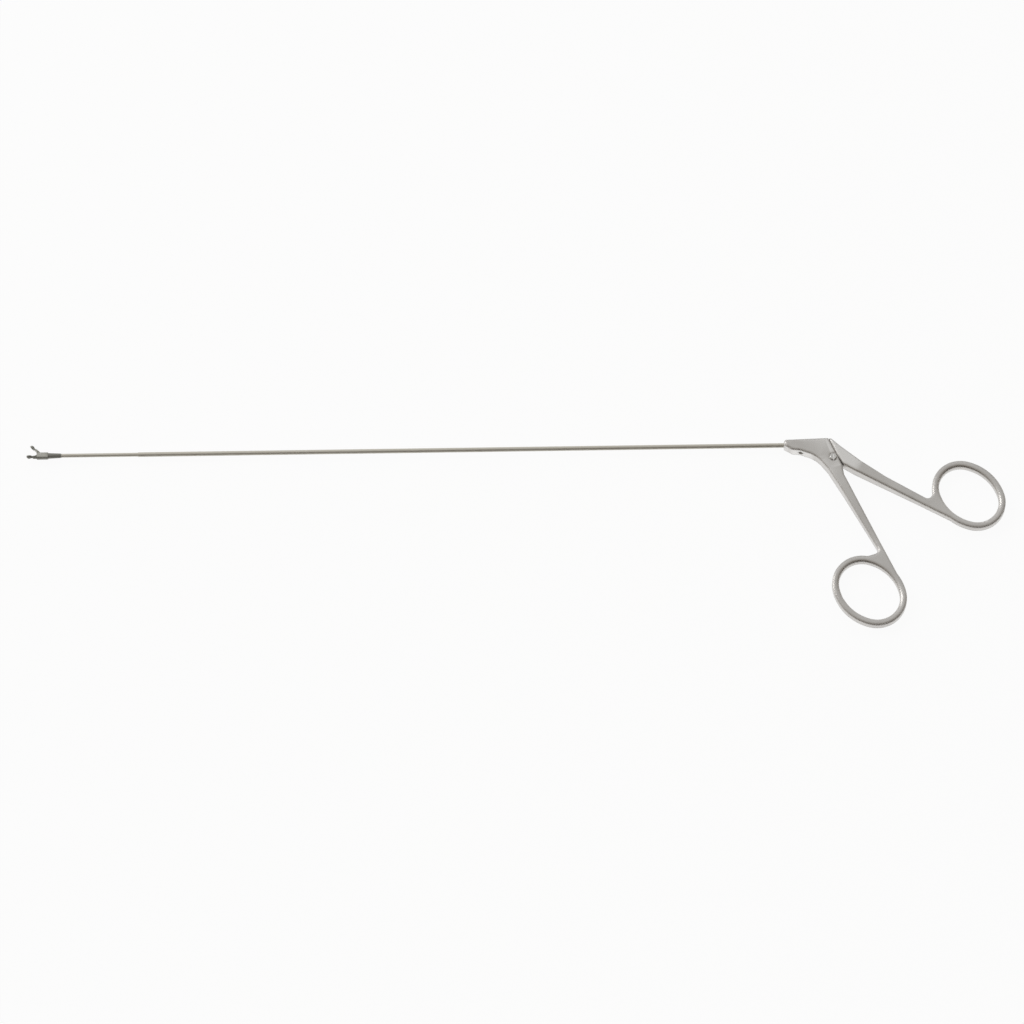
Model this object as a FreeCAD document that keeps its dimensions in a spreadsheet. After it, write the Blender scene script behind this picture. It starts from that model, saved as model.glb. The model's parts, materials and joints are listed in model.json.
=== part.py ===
import FreeCAD, Part
import math
import os
import re
import Sketcher

# Micro laryngeal forceps, lying on its side. Millimetres.
# Origin: on the shaft's axis, just behind the front of the handle's nose.
# +X runs from the jaws towards the handle, +Y is the side the moving jaw opens to,
# the finger rings lie towards -Y, and +Z is across the thickness.
# It is drawn at rest: jaws open, finger rings apart.

SIZES = [
    # name, value, what it is
    ("working_length", 300.0, "nose of the handle to the tip of the jaws"),
    ("main_tube_outer", 1.8, "outer diameter of the main tube"),
    ("main_tube_bore", 1.5, "bore of the main tube, which the thin tube is brazed into"),
    ("thin_tube_bore", 1.1, "bore of the thin tube"),
    ("thin_tube_length", 30.3, "thin tube in view between the main tube and the head"),
    ("thin_tube_overlap", 8.0, "thin tube inside the main tube"),
    ("thin_tube_socket", 3.0, "thin tube inside the head"),
    ("tube_socket", 9.0, "main tube inside the handle"),
    ("tube_end_bevel", 0.1, "bevel at the end of the main tube"),
    ("rod_clearance", 0.09, "rod to tube, all round"),
    ("running_clearance", 0.04, "pin to hole, all round"),
    ("bush_length", 1.6, "guide bush behind the main tube"),
    ("rod_joint", 3.0, "thin rod brazed into the end of the pull rod"),
    ("rod_step_gap", 0.6, "pull rod's end short of the thin tube"),
    ("head_cone", 5.2, "round taper of the jaw head"),
    ("head_cone_rear", 1.8, "diameter of the taper at the thin tube"),
    ("head_cone_front", 2.25, "diameter of the taper at the block"),
    ("head_cone_end", 0.4, "steeper end of the taper at the thin tube"),
    ("head_block", 4.5, "flat-sided part of the jaw head"),
    ("head_height", 2.3, "jaw head along Y"),
    ("head_depth", 2.4, "jaw head along Z"),
    ("head_edge", 0.3, "bevel along the head's edges"),
    ("head_slot", 1.0, "width of the head's slot"),
    ("head_slot_wall", 0.5, "solid behind the slot"),
    ("head_floor", 0.2, "floor under the slot"),
    ("head_slope", 1.5, "slope from the front of the head down to the fixed jaw"),
    ("jaw_length", 4.1, "jaws in front of the head"),
    ("jaw_radius", 1.1, "back of the jaws, from the jaws' own axis"),
    ("jaw_neck_radius", 0.82, "back of the jaws behind the cups"),
    ("jaw_root_depth", 0.4, "moving jaw's root below the jaws' axis, in the slot"),
    ("cup_radius", 1.05, "round end of each jaw"),
    ("cup_hollow", 0.72, "hollow of each cup"),
    ("cup_relief", 0.24, "step down behind the rim of each cup"),
    ("parting_gap", 0.04, "gap between the rims when closed"),
    ("jaw_pivot_setback", 1.4, "jaw pivot behind the front of the head"),
    ("jaw_pivot_rise", 0.4, "jaw pivot above the shaft's axis"),
    ("jaw_pin", 0.5, "diameter of the jaw's pivot pin"),
    ("jaw_hub", 1.24, "diameter of the jaw's hub"),
    ("jaw_boss", 0.86, "diameter of the hub beside the rod eye"),
    ("jaw_tail", 0.72, "width of the jaw's tail"),
    ("jaw_front_gap", 0.2, "cup behind the front of the head, when closed"),
    ("side_gap", 0.04, "jaw and rod eye to the walls of the head's slot"),
    ("leaf_gap", 0.08, "between the rod eye and the jaw's tail"),
    ("cam_pin", 0.4, "diameter of the pin between rod eye and tail"),
    ("eye_width", 0.68, "width of the rod eye"),
    ("eye_shank", 1.1, "round shank of the rod eye"),
    ("eye_reach", 1.68, "rod eye's blade behind its pin"),
    ("cam_slot_run", 0.06, "spare length at each end of the tail's slot"),
    ("jaw_opening", 46.0, "opening of the moving jaw, degrees"),
    ("handle_travel", 7.0, "turn of the rear handle from open to closed, degrees"),
    ("handle_thickness", 5.5, "handle along Z"),
    ("pivot_setback", 18.5, "handle pivot behind the nose"),
    ("pivot_drop", 6.2, "handle pivot below the shaft's axis"),
    ("nose_lead", 0.7, "nose ahead of the origin"),
    ("nose_top", 1.35, "top of the nose above the axis"),
    ("nose_bottom", 1.55, "bottom of the nose below the axis"),
    ("nose_round", 0.9, "rounding of the nose's corners"),
    ("cheek_top", 1.87, "top of the cheeks above the axis"),
    ("seam_angle", 24.0, "slope of the seam from upright, degrees"),
    ("seam_reach", 1.68, "seam to the right of the pivot"),
    ("seam_gap", 0.06, "seam when the rear handle stands against it"),
    ("seam_up", 8.1, "seam above the pivot"),
    ("seam_down", 4.7, "seam below the pivot"),
    ("rim_round", 0.45, "rounding of the handle's long edges"),
    ("front_arm_angle", -63.1, "direction of the front arm, degrees"),
    ("front_arm_edge", 0.22, "right edge of the front arm from the pivot's line"),
    ("front_arm_root", 4.2, "front arm's left edge near the cheeks"),
    ("front_arm_tip", 3.05, "front arm's left edge near the ring"),
    ("rear_arm_angle", -28.7, "direction of the rear arm, degrees"),
    ("rear_arm_edge", 1.15, "lower edge of the rear arm from the pivot's line"),
    ("rear_arm_root", 5.5, "top of the rear arm at the pivot"),
    ("rear_arm_tip", 1.6, "top of the rear arm near the ring"),
    ("taper_start", 12.0, "start of the taper from the pivot"),
    ("front_taper_gap", 1.6, "end of the front arm's taper ahead of its ring"),
    ("rear_taper_gap", 0.2, "end of the rear arm's taper ahead of its ring"),
    ("front_ring_along", 55.9, "front ring's middle along its arm"),
    ("front_ring_aside", 4.15, "front finger hole beside its arm's line"),
    ("front_hole_width", 20.5, "front finger hole, short way"),
    ("front_hole_stretch", 5.7, "front finger hole, long way less short way"),
    ("front_ring_turn", -47.0, "long way of the front finger hole, degrees"),
    ("rear_ring_along", 54.3, "rear ring's middle along its arm"),
    ("rear_ring_aside", 1.2, "rear finger hole beside its arm's line"),
    ("rear_hole_width", 19.6, "rear finger hole, short way"),
    ("rear_hole_stretch", 6.2, "rear finger hole, long way less short way"),
    ("rear_ring_turn", -45.0, "long way of the rear finger hole, degrees"),
    ("ring_width", 2.7, "width of the rings' band"),
    ("ring_height", 3.7, "height of the rings' band"),
    ("hole_round", 1.1, "rounding of the finger holes' rims"),
    ("cheek_slot", 2.3, "slot between the cheeks"),
    ("slot_start", 10.8, "front of the cheek slot"),
    ("tongue_gap", 0.05, "tongue to each cheek"),
    ("tongue_round", 2.9, "tongue round the pivot"),
    ("tongue_sweep_gap", 0.7, "cheek slot beyond the tongue"),
    ("pivot_shank", 2.0, "diameter of the pivot screw"),
    ("pivot_head", 2.9, "diameter of the pivot screw's head"),
    ("pivot_head_sink", 0.6, "pivot screw's head below the near cheek"),
    ("pivot_head_rise", 0.3, "pivot screw's head above the near cheek"),
    ("driver_slot", 0.4, "width of the screws' driver slots"),
    ("driver_slot_depth", 0.4, "depth of the screws' driver slots"),
    ("set_screw", 2.0, "diameter of the set screw"),
    ("set_screw_length", 1.9, "length of the set screw"),
    ("set_screw_setback", 5.9, "set screw behind the nose"),
    ("knuckle_offset", 2.4, "knuckle pin ahead of the pivot at half travel"),
    ("knuckle_pin", 1.2, "diameter of the knuckle pin"),
    ("knuckle_blade", 0.8, "thickness of the knuckle's blade"),
    ("knuckle_height", 2.0, "height of the knuckle's blade"),
    ("knuckle_barrel", 2.0, "diameter of the knuckle's barrel"),
    ("knuckle_barrel_length", 1.9, "length of the knuckle's barrel"),
    ("knuckle_reach", 3.7, "knuckle's barrel ahead of its pin"),
    ("lock_nut_width", 1.85, "lock nut across its flats"),
    ("lock_nut_length", 0.7, "thickness of the lock nut"),
    ("slot_run", 0.1, "spare length at each end of the tongue's slot"),
]
NAMES = {name for name, value, note in SIZES}

# Formulas that several pieces share.
HEAD_FRONT = "(jaw_length - working_length)"
HEAD_MIDDLE = "(jaw_length - working_length + head_block)"
HEAD_REAR = "(jaw_length - working_length + head_block + head_cone)"
TUBE_STEP = "(jaw_length - working_length + head_block + head_cone + thin_tube_length)"
PULL_ROD = "(main_tube_bore / 2 - rod_clearance)"
THIN_ROD = "(thin_tube_bore / 2 - rod_clearance)"
JAW_PIVOT_X = "(jaw_length - working_length + jaw_pivot_setback)"
STROKE = "(2 * pivot_drop * tan(handle_travel / 2))"
CAM_ARM = "(pivot_drop * tan(handle_travel / 2) / tan(jaw_opening / 2))"
CAM_PIN_X = f"({JAW_PIVOT_X} - {STROKE} / 2)"
CAM_PIN_Y = f"(jaw_pivot_rise - {CAM_ARM})"
LEAF = "(head_slot / 2 - side_gap - leaf_gap / 2)"
KNUCKLE_PIN_X = (
    f"(pivot_setback - knuckle_offset / cos(handle_travel / 2) - {STROKE} / 2)"
)
TONGUE = "(cheek_slot - 2 * tongue_gap)"

# What counts as touching, in millimetres, and as upright, a wall or a broad face.
TOUCHING = 0.001
UPRIGHT = 0.999
WALL_TILT = 0.3
FACE_TILT = 0.7

doc = FreeCAD.newDocument("micro_laryngeal_forceps")
sheet = doc.addObject("Spreadsheet::Sheet", "Sizes")


def fill_sheet():
    """Writes each driving dimension to its own cell, with its name as alias."""
    for row, (name, value, note) in enumerate(SIZES, start=1):
        sheet.set(f"A{row}", name)
        sheet.set(f"B{row}", str(value))
        sheet.set(f"C{row}", note)
        sheet.setAlias(f"B{row}", name)
    doc.recompute()


def bound(formula):
    """The formula with every size's name turned into a reference to the sheet."""
    def refer(word):
        text = word.group()
        return "Sizes." + text if text in NAMES else text
    return re.sub(r"[a-z_]+", refer, formula)


def number(formula):
    return float(sheet.evalExpression(bound(formula)))


def bind(thing, prop, formula):
    thing.setExpression(prop, bound(formula))


def new_body(name):
    body = doc.addObject("PartDesign::Body", name)
    body.Label = name
    return body


def place_body(body, x="0", y="0", turn="0"):
    """Puts the body's own origin at x, y and turns it about Z."""
    body.Placement = FreeCAD.Placement(
        FreeCAD.Vector(), FreeCAD.Rotation(FreeCAD.Vector(0, 0, 1), 1.0)
    )
    bind(body, "Placement.Base.x", x)
    bind(body, "Placement.Base.y", y)
    bind(body, "Placement.Rotation.Angle", turn)


def new_sketch(body, name, plane="XY_Plane", shift=("0", "0", "0"), axis=None, turn="0"):
    sketch = body.newObject("Sketcher::SketchObject", name)
    support = [item for item in body.Origin.OriginFeatures if item.Role == plane][0]
    sketch.AttachmentSupport = (support, "")
    sketch.MapMode = "FlatFace"
    if axis:
        sketch.AttachmentOffset = FreeCAD.Placement(
            FreeCAD.Vector(), FreeCAD.Rotation(FreeCAD.Vector(*axis), 1.0)
        )
        bind(sketch, "AttachmentOffset.Rotation.Angle", turn)
    for letter, formula in zip("xyz", shift):
        if formula != "0":
            bind(sketch, f"AttachmentOffset.Base.{letter}", formula)
    return sketch


def fix_point(sketch, shape, end, x, y):
    """Holds one point of a sketch at two formulas."""
    for kind, formula in (("DistanceX", x), ("DistanceY", y)):
        rule = Sketcher.Constraint(kind, -1, 1, shape, end, number(formula))
        bind(sketch, f"Constraints[{sketch.addConstraint(rule)}]", formula)


def draw_outline(sketch, corners):
    """A closed outline of straight lines through corners given as formulas."""
    places = [FreeCAD.Vector(number(x), number(y), 0) for x, y in corners]
    first = sketch.GeometryCount
    count = len(places)
    for i in range(count):
        line = Part.LineSegment(places[i], places[(i + 1) % count])
        sketch.addGeometry(line, False)
    for i in range(count):
        after = first + (i + 1) % count
        sketch.addConstraint(Sketcher.Constraint("Coincident", first + i, 2, after, 1))
    for i, (x, y) in enumerate(corners):
        fix_point(sketch, first + i, 1, x, y)


def draw_circle(sketch, x, y, diameter):
    middle = FreeCAD.Vector(number(x), number(y), 0)
    circle = Part.Circle(middle, FreeCAD.Vector(0, 0, 1), number(diameter) / 2)
    shape = sketch.addGeometry(circle, False)
    fix_point(sketch, shape, 3, x, y)
    rule = Sketcher.Constraint("Diameter", shape, number(diameter))
    bind(sketch, f"Constraints[{sketch.addConstraint(rule)}]", diameter)


def draw_capsule(sketch, start, stop, width):
    """Two half circles about start and stop, joined by straight sides."""
    first = sketch.GeometryCount
    radius = number(width) / 2
    a = FreeCAD.Vector(number(start[0]), number(start[1]), 0)
    b = FreeCAD.Vector(number(stop[0]), number(stop[1]), 0)
    along = (b - a).normalize()
    aside = FreeCAD.Vector(-along.y, along.x, 0)
    round_a = Part.Arc(a + aside * radius, a - along * radius, a - aside * radius)
    round_b = Part.Arc(b - aside * radius, b + along * radius, b + aside * radius)
    sketch.addGeometry(round_a, False)
    sketch.addGeometry(Part.LineSegment(a - aside * radius, b - aside * radius), False)
    sketch.addGeometry(round_b, False)
    sketch.addGeometry(Part.LineSegment(b + aside * radius, a + aside * radius), False)
    for i in range(4):
        here = first + i
        after = first + (i + 1) % 4
        sketch.addConstraint(Sketcher.Constraint("Tangent", here, 2, after, 1))
    fix_point(sketch, first, 3, *start)
    fix_point(sketch, first + 2, 3, *stop)
    rule = Sketcher.Constraint("Radius", first, radius)
    bind(sketch, f"Constraints[{sketch.addConstraint(rule)}]", f"({width}) / 2")


def draw_arc(sketch, x, y, radius, start, stop):
    middle = FreeCAD.Vector(x, y, 0)
    circle = Part.Circle(middle, FreeCAD.Vector(0, 0, 1), radius)
    return sketch.addGeometry(Part.ArcOfCircle(circle, start, stop), False)


def draw_oval(sketch, long_half, short_half, grow):
    """An oval of four smooth arcs, grown outwards, with its long way along the sketch's x."""
    end_round = f"(({short_half} + {short_half} * {short_half} / {long_half}) / 2)"
    end_x = f"({long_half} - {end_round})"
    side_round = (
        f"(({end_x} * {end_x} + {short_half} * {short_half} - {end_round} * {end_round})"
        f" / (2 * ({short_half} - {end_round})))"
    )
    side_y = f"({side_round} - {short_half})"
    share = f"(({end_round} + {grow}) / ({side_round} - {end_round}))"
    meet_x = f"({end_x} * (1 + {share}))"
    meet_y = f"({side_y} * {share})"
    end_radius = number(f"{end_round} + {grow}")
    side_radius = number(f"{side_round} + {grow}")
    end_at, side_at = number(end_x), number(side_y)
    end_angle = math.atan2(number(meet_y), number(meet_x) - end_at)
    side_angle = math.atan2(number(meet_y) + side_at, number(meet_x))
    half_turn = math.pi
    arcs = [
        draw_arc(sketch, end_at, 0, end_radius, -end_angle, end_angle),
        draw_arc(sketch, 0, -side_at, side_radius, side_angle, half_turn - side_angle),
        draw_arc(sketch, -end_at, 0, end_radius, half_turn - end_angle, half_turn + end_angle),
        draw_arc(sketch, 0, side_at, side_radius, half_turn + side_angle, -side_angle),
    ]
    for arc, after in zip(arcs, arcs[1:] + arcs[:1]):
        sketch.addConstraint(Sketcher.Constraint("Coincident", arc, 2, after, 1))
    starts = ((meet_x, f"-{meet_y}"), (meet_x, meet_y),
              (f"-{meet_x}", meet_y), (f"-{meet_x}", f"-{meet_y}"))
    for arc, (x, y) in zip(arcs, starts):
        fix_point(sketch, arc, 1, x, y)
    for arc, turn in zip(arcs, (end_round, side_round, end_round, side_round)):
        rule = Sketcher.Constraint("Radius", arc, number(f"{turn} + {grow}"))
        bind(sketch, f"Constraints[{sketch.addConstraint(rule)}]", f"{turn} + {grow}")


def settle(feature):
    """Recomputes, and stops with the feature's name if it failed."""
    doc.recompute()
    if "Invalid" in feature.State or "Error" in feature.State or feature.Shape.isNull():
        raise RuntimeError(f"{feature.Label} failed: {feature.State}")
    return feature


def pad(body, sketch, name, length, middle=True):
    feature = body.newObject("PartDesign::Pad", name)
    feature.Profile = sketch
    bind(feature, "Length", length)
    feature.SideType = "Symmetric" if middle else "One side"
    return settle(feature)


def pocket(body, sketch, name, length, middle=True, reverse=False):
    """Cuts the sketch out of the body, and stops if the cut took nothing away."""
    before = body.Shape.Volume
    feature = body.newObject("PartDesign::Pocket", name)
    feature.Profile = sketch
    feature.Type = "Length"
    bind(feature, "Length", length)
    feature.SideType = "Symmetric" if middle else "One side"
    feature.Reversed = reverse
    settle(feature)
    if body.Shape.Volume >= before:
        raise RuntimeError(f"{body.Label}: {name} cuts nothing")
    return feature


def turn_profile(body, name, corners, axis="H_Axis", plane="XY_Plane"):
    """A solid of revolution from a closed outline beside the axis."""
    sketch = new_sketch(body, name + "_profile", plane)
    draw_outline(sketch, corners)
    feature = body.newObject("PartDesign::Revolution", name)
    feature.Profile = sketch
    feature.ReferenceAxis = (sketch, [axis])
    feature.Angle = 360
    return settle(feature)


def edge_names(feature, wanted):
    """Names of the feature's edges for which wanted(shape, edge) is true."""
    shape = feature.Shape
    edges = enumerate(shape.Edges, start=1)
    return [f"Edge{i}" for i, edge in edges if wanted(shape, edge)]


def is_upright(edge):
    ends = [vertex.Point for vertex in edge.Vertexes]
    if len(ends) != 2:
        return False
    across = ends[1] - ends[0]
    return abs(across.z) > UPRIGHT * across.Length


def round_corners(body, feature, name, places, radius):
    """Rounds the upright edges nearest to the given places."""
    points = [FreeCAD.Vector(number(x), number(y), 0) for x, y in places]
    upright = [
        (i, edge.CenterOfMass)
        for i, edge in enumerate(feature.Shape.Edges, start=1)
        if is_upright(edge)
    ]
    chosen = []
    for point in points:
        flat = [(FreeCAD.Vector(at.x, at.y, 0).distanceToPoint(point), i) for i, at in upright]
        chosen.append(f"Edge{min(flat)[1]}")
    rounding = body.newObject("PartDesign::Fillet", name)
    rounding.Base = (feature, chosen)
    bind(rounding, "Radius", radius)
    return settle(rounding)


def face_tilt(face, edge):
    """How far the face's normal leans to Z at the middle of one of its edges."""
    middle = edge.valueAt((edge.FirstParameter + edge.LastParameter) / 2)
    u, v = face.Surface.parameter(middle)
    return abs(face.normalAt(u, v).z)


def is_rim(shape, edge):
    """True where an upright wall meets a broad top or bottom face."""
    tilts = [face_tilt(face, edge) for face in shape.ancestorsOfType(edge, Part.Face)]
    return len(tilts) == 2 and min(tilts) < WALL_TILT and max(tilts) > FACE_TILT


def round_rims(body, feature, radius):
    """Rounds the edges of the broad faces that are still sharp."""
    rounding = body.newObject("PartDesign::Fillet", "rims")
    rounding.Base = (feature, edge_names(feature, is_rim))
    bind(rounding, "Radius", radius)
    return settle(rounding)


def rotated(x0, y0, angle, along, aside):
    """A point given along and beside a direction, as formulas for x and y."""
    x = f"{x0} + ({along}) * cos({angle}) - ({aside}) * sin({angle})"
    y = f"{y0} + ({along}) * sin({angle}) + ({aside}) * cos({angle})"
    return x, y


def on_seam(x0, y0, angle, reach, down):
    """A point on the seam: reach from the pivot, and down along the seam."""
    return rotated(x0, y0, angle, reach, f"-({down})")


def taper_arm(body, x0, y0, angle, side_name):
    """Thins an arm evenly on both broad faces, down to the ring, which is level."""
    far = "(front_ring_along + rear_ring_along)"
    ring_reach = f"({side_name}_hole_width + {side_name}_hole_stretch) / 2 + ring_width"
    taper_end = f"({side_name}_ring_along - ({ring_reach}) - {side_name}_taper_gap)"
    for side in (1, -1):
        name = "taper_near" if side > 0 else "taper_far"
        face = f"{side} * handle_thickness / 2"
        ring_face = f"{side} * ring_height / 2"
        wedge = new_sketch(
            body, name + "_wedge", "XZ_Plane", (x0, "0", f"-({y0})"), (0, 1, 0), angle
        )
        draw_outline(wedge, [
            ("taper_start", face),
            (taper_end, ring_face),
            (far, ring_face),
            (far, f"{face} + {side} * rim_round"),
            ("taper_start", f"{face} + {side} * rim_round"),
        ])
        pocket(body, wedge, name, "2 * working_length")


def on_ring(centre, turn, hole_width, hole_stretch, grow, angle):
    """A point near the ring, at an angle from its long way, so far outside the hole."""
    along = f"({hole_width} / 2 + {hole_stretch} / 2 + {grow}) * cos({angle})"
    aside = f"({hole_width} / 2 + {grow}) * sin({angle})"
    return rotated(centre[0], centre[1], turn, along, aside)


def add_ring(body, centre, turn, hole_width, hole_stretch):
    """Joins the finger ring to its arm, as a flat oval band."""
    x, y = centre
    short_half = f"({hole_width} / 2)"
    long_half = f"({hole_width} / 2 + {hole_stretch} / 2)"
    outline = new_sketch(body, "ring_outline", "XY_Plane", (x, y, "0"), (0, 0, 1), turn)
    draw_oval(outline, long_half, short_half, "0")
    draw_oval(outline, long_half, short_half, "ring_width")
    return pad(body, outline, "finger_ring", "handle_thickness")


def round_hole(body, middle, turn, hole_width, hole_stretch):
    """Rounds the finger hole's rims."""
    x, y = (number(value) for value in middle)
    slant = math.radians(number(turn))
    short_half = number(f"{hole_width} / 2 + ring_width / 2")
    long_half = number(f"{hole_width} / 2 + {hole_stretch} / 2 + ring_width / 2")

    def is_hole_rim(shape, edge):
        for end in edge.Vertexes:
            along = (end.X - x) * math.cos(slant) + (end.Y - y) * math.sin(slant)
            aside = (end.Y - y) * math.cos(slant) - (end.X - x) * math.sin(slant)
            if math.hypot(along / long_half, aside / short_half) > 1:
                return False
        return is_rim(shape, edge)

    base = body.Tip
    rounding = body.newObject("PartDesign::Fillet", "hole_rims")
    rounding.Base = (base, edge_names(base, is_hole_rim))
    bind(rounding, "Radius", "hole_round")
    return settle(rounding)


def make_front_handle():
    """Nose, cheeks, front arm and finger ring: the piece that the shaft is fixed in."""
    body = new_body("front_handle")
    px, py = "pivot_setback", "-pivot_drop"

    def arm(along, aside):
        return rotated(px, py, "front_arm_angle", along, aside)

    def ring(share, angle):
        """A point in the ring's band, at a share of its width outside the hole."""
        return on_ring(middle, "front_ring_turn", "front_hole_width", "front_hole_stretch",
                       f"ring_width * {share}", angle)

    middle = arm("front_ring_along", "-front_ring_aside - front_hole_width / 2")
    seam_top = on_seam(px, py, "seam_angle", "seam_reach", "-seam_up")
    seam_foot = on_seam(px, py, "seam_angle", "seam_reach", "seam_down")
    belly = ("pivot_setback - 6.6", "-pivot_drop + 0.1")
    heel = ("pivot_setback - 5.1", "-pivot_drop - 1.3")
    chin = ("pivot_setback - 13.0", "-nose_bottom - 1.7")
    hip = arm("8.5", "front_arm_edge")
    crotch = arm("front_ring_along - front_hole_width / 2 - 1.85", "-front_arm_tip")
    web_end = ring(0.95, 135)
    arm_end = ring(0.9, 66)
    corners = [
        ("-nose_lead", "nose_top"),
        ("pivot_setback - 3.2", "cheek_top"),
        seam_top,
        seam_foot,
        hip,
        arm_end,
        *[ring(0.5, angle) for angle in (75, 90, 105, 120)],
        web_end,
        crotch,
        arm("15", "-front_arm_root * 0.86"),
        arm("3.5", "-front_arm_root"),
        heel,
        belly,
        ("pivot_setback - 8.8", "-pivot_drop + 1.4"),
        chin,
        ("pivot_setback - 16.0", "-nose_bottom - 1.4"),
        ("1.4", "-nose_bottom - 0.7"),
        ("-nose_lead", "-nose_bottom + 0.5"),
    ]
    outline = new_sketch(body, "outline")
    draw_outline(outline, corners)
    pad(body, outline, "block", "handle_thickness")
    solid = add_ring(body, middle, "front_ring_turn", "front_hole_width", "front_hole_stretch")
    solid = round_corners(body, solid, "nose_corners", [corners[0]], "nose_round")
    solid = round_corners(body, solid, "seam_corner", [seam_top], "nose_round * 0.3")
    solid = round_corners(body, solid, "cheek_corner", [seam_foot], "nose_round * 0.8")
    solid = round_corners(body, solid, "hollows", [hip, crotch, heel, belly], "nose_round * 2")
    round_corners(body, solid, "ring_blends", [web_end, ring(1, 80)], "ring_width")
    taper_arm(body, px, py, "front_arm_angle", "front")
    round_hole(body, middle, "front_ring_turn", "front_hole_width", "front_hole_stretch")
    round_rims(body, body.Tip, "rim_round")
    bore_for_shaft(body)
    cut_cheek_slot(body)
    bore_for_pivot(body)
    bore_for_set_screw(body)
    return body


def bore_for_shaft(body):
    """The hole along the shaft's axis, from the nose into the slot."""
    circle = new_sketch(body, "shaft_bore_circle", "YZ_Plane", ("0", "0", "-nose_lead"))
    draw_circle(circle, "0", "0", "main_tube_outer")
    pocket(body, circle, "shaft_bore", "nose_lead + slot_start + 1", middle=False, reverse=True)


def cut_cheek_slot(body):
    """The slot that the tongue, the knuckle and the lock nut move in."""
    slot = new_sketch(body, "cheek_slot_outline")
    reach = "(tongue_round + tongue_sweep_gap)"
    draw_outline(slot, [
        ("slot_start", "cheek_top + 2"),
        ("slot_start", "-knuckle_barrel / 2 - 0.5"),
        ("pivot_setback - 5.3", "-pivot_drop + 3.9"),
        (f"pivot_setback - {reach}", "-pivot_drop - 0.8"),
        (f"pivot_setback - {reach} * 0.6", f"-pivot_drop - {reach} * 0.95"),
        ("pivot_setback + seam_reach + seam_down", f"-pivot_drop - {reach}"),
        ("pivot_setback + seam_reach + seam_down", "cheek_top + 2"),
    ])
    pocket(body, slot, "cheek_slot", "cheek_slot")


def bore_for_pivot(body):
    through = new_sketch(body, "pivot_bore_circle")
    draw_circle(through, "pivot_setback", "-pivot_drop", "pivot_shank")
    pocket(body, through, "pivot_bore", "2 * handle_thickness")
    seat = new_sketch(
        body, "pivot_seat_circle", "XY_Plane", ("0", "0", "handle_thickness / 2")
    )
    draw_circle(seat, "pivot_setback", "-pivot_drop", "pivot_head")
    pocket(body, seat, "pivot_seat", "pivot_head_sink", middle=False)


def bore_for_set_screw(body):
    """The threaded hole under the nose, up to the shaft."""
    circle = new_sketch(body, "set_screw_circle", "XZ_Plane")
    draw_circle(circle, "set_screw_setback", "0", "set_screw")
    pocket(body, circle, "set_screw_bore", "nose_bottom + 4", middle=False, reverse=True)


def make_rear_handle():
    """Shoulder, rear arm and finger ring, with a tongue that runs between the cheeks."""
    body = new_body("rear_handle")
    place_body(body, "pivot_setback", "-pivot_drop")

    def arm(along, aside):
        return rotated("0", "0", "rear_arm_angle", along, aside)

    def ring(share, angle):
        """A point in the ring's band, at a share of its width outside the hole."""
        return on_ring(middle, "rear_ring_turn", "rear_hole_width", "rear_hole_stretch",
                       f"ring_width * {share}", angle)

    middle = arm("rear_ring_along", "rear_ring_aside + rear_hole_width / 2")
    reach = "(seam_reach + seam_gap)"
    half = "handle_travel / 2"
    shoulder = on_seam("0", "0", "seam_angle", reach, "-seam_up + 0.1")
    brow = ("seam_reach - 2.184", "pivot_drop + cheek_top - 0.22")
    crossing = rotated("0", "0", f"(seam_angle + {half})", f"{reach} / cos({half})", "0")
    turned = "(seam_angle + handle_travel)"
    foot = on_seam("0", "0", turned, reach, "seam_down - 0.1")
    crotch = arm("rear_ring_along - rear_hole_width * 0.2 - 8.08", "rear_arm_tip + 0.1")
    web_end = ring(0.95, 220)
    arm_end = ring(0.9, 284)
    corners = [
        brow,
        shoulder,
        crossing,
        foot,
        arm("10", "-rear_arm_edge"),
        arm_end,
        *[ring(0.5, angle) for angle in (275, 262, 249, 236)],
        web_end,
        crotch,
        arm("22", "rear_arm_tip + 0.75"),
        arm("10.4", "rear_arm_root * 0.5 + rear_arm_tip * 0.55"),
        arm("0.5", "rear_arm_root"),
    ]
    outline = new_sketch(body, "outline")
    draw_outline(outline, corners)
    pad(body, outline, "block", "handle_thickness")
    solid = add_ring(body, middle, "rear_ring_turn", "rear_hole_width", "rear_hole_stretch")
    solid = round_corners(body, solid, "shoulder_corner", [shoulder], "nose_round * 0.3")
    solid = round_corners(body, solid, "brow_corners", [brow, foot], "nose_round * 0.5")
    solid = round_corners(body, solid, "hollows", [crotch], "nose_round * 2")
    round_corners(body, solid, "ring_blends", [web_end, ring(1, 274)], "ring_width")
    taper_arm(body, "0", "0", "rear_arm_angle", "rear")
    round_hole(body, middle, "rear_ring_turn", "rear_hole_width", "rear_hole_stretch")
    round_rims(body, body.Tip, "rim_round")
    add_tongue(body)
    return body


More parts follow.
